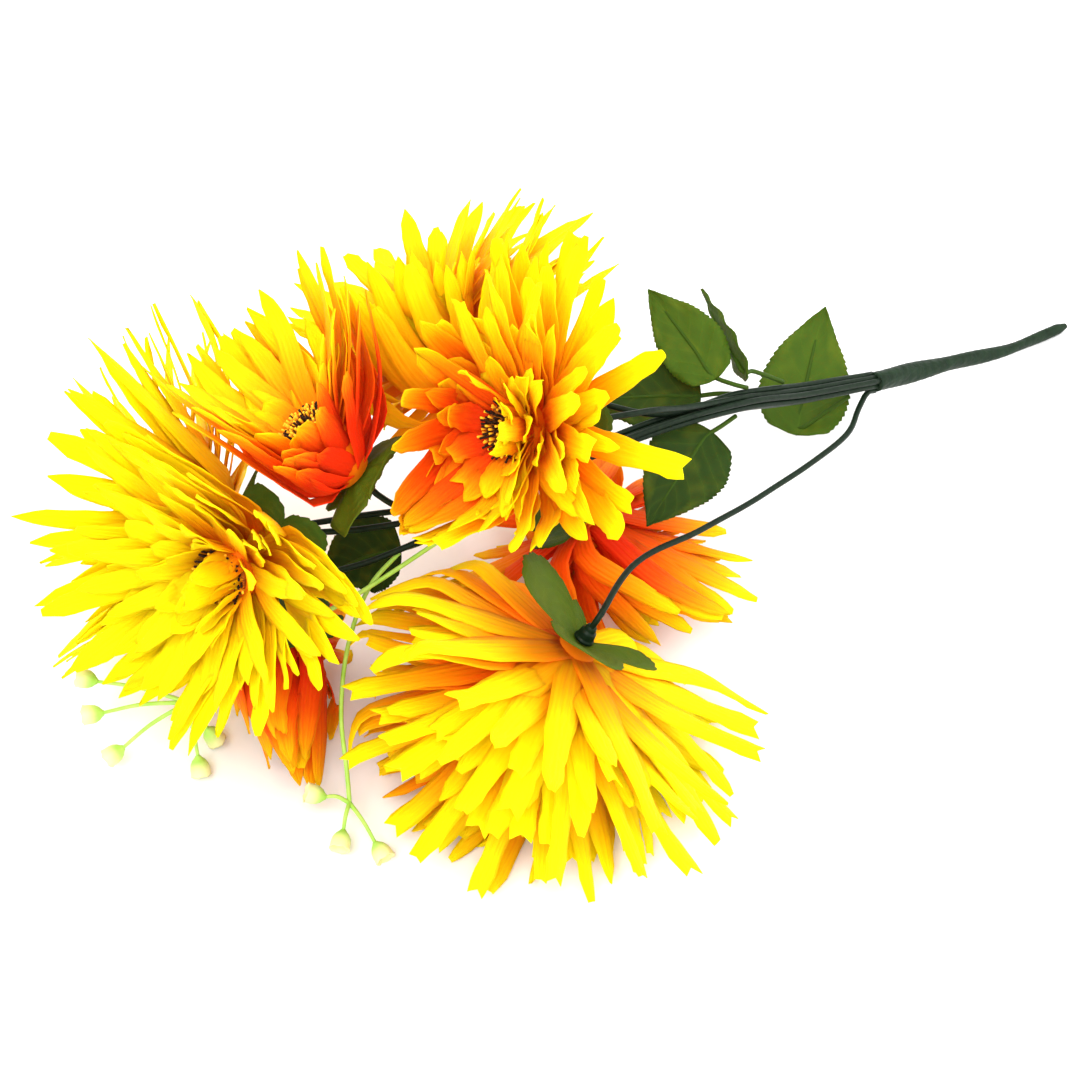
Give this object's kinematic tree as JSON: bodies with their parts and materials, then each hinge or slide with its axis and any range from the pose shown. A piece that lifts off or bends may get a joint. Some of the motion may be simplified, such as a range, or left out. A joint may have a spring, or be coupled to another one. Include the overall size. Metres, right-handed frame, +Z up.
{
  "type": "artificial chrysanthemum bouquet",
  "caption": "Artificial bouquet of yellow spider chrysanthemum heads on wires tied into one taped stem, with serrated leaves and budded filler sprigs, lying on its side.",
  "frame": {"origin": "middle of the bouquet's footprint, on the surface it lies on", "axes": "+X runs from the heads towards the taped end of the stem, +Z is up"},
  "size_m": [0.4238, 0.2565, 0.171],
  "materials": {
    "petal_fabric": "thin woven fabric, bright yellow at the tips, orange to red at the base",
    "stamen": "dark brown stamens with orange specks",
    "leaf_fabric": "thin woven fabric, mid green, matte with a faint sheen",
    "wire_plastic": "green-black plastic over wire",
    "floral_tape": "dark green stretched tape, spirally wrapped",
    "sprig_plastic": "pale lime plastic with cream buds"
  },
  "bodies": {
    "root": {"bloom_1_petals": "petal_fabric", "bloom_1_disc": "stamen", "bloom_1_calyx": "leaf_fabric", "stem_1": "wire_plastic", "bloom_2_petals": "petal_fabric", "bloom_2_disc": "stamen", "bloom_2_calyx": "leaf_fabric", "stem_2": "wire_plastic", "bloom_3_petals": "petal_fabric", "bloom_3_disc": "stamen", "bloom_3_calyx": "leaf_fabric", "stem_3": "wire_plastic", "bloom_4_petals": "petal_fabric", "bloom_4_disc": "stamen", "bloom_4_calyx": "leaf_fabric", "stem_4": "wire_plastic", "bloom_5_petals": "petal_fabric", "bloom_5_disc": "stamen", "bloom_5_calyx": "leaf_fabric", "stem_5": "wire_plastic", "bloom_6_petals": "petal_fabric", "bloom_6_disc": "stamen", "bloom_6_calyx": "leaf_fabric", "stem_6": "wire_plastic", "bloom_7_petals": "petal_fabric", "bloom_7_disc": "stamen", "bloom_7_calyx": "leaf_fabric", "stem_7": "wire_plastic", "bloom_8_petals": "petal_fabric", "bloom_8_disc": "stamen", "bloom_8_calyx": "leaf_fabric", "stem_8": "wire_plastic", "leaf_1": "leaf_fabric", "leaf_2": "leaf_fabric", "leaf_3": "leaf_fabric", "leaf_4": "leaf_fabric", "leaf_5": "leaf_fabric", "leaf_6": "leaf_fabric", "sprig_1": "sprig_plastic", "sprig_2": "sprig_plastic", "taped_stem": "floral_tape"}
  },
  "joints": []
}
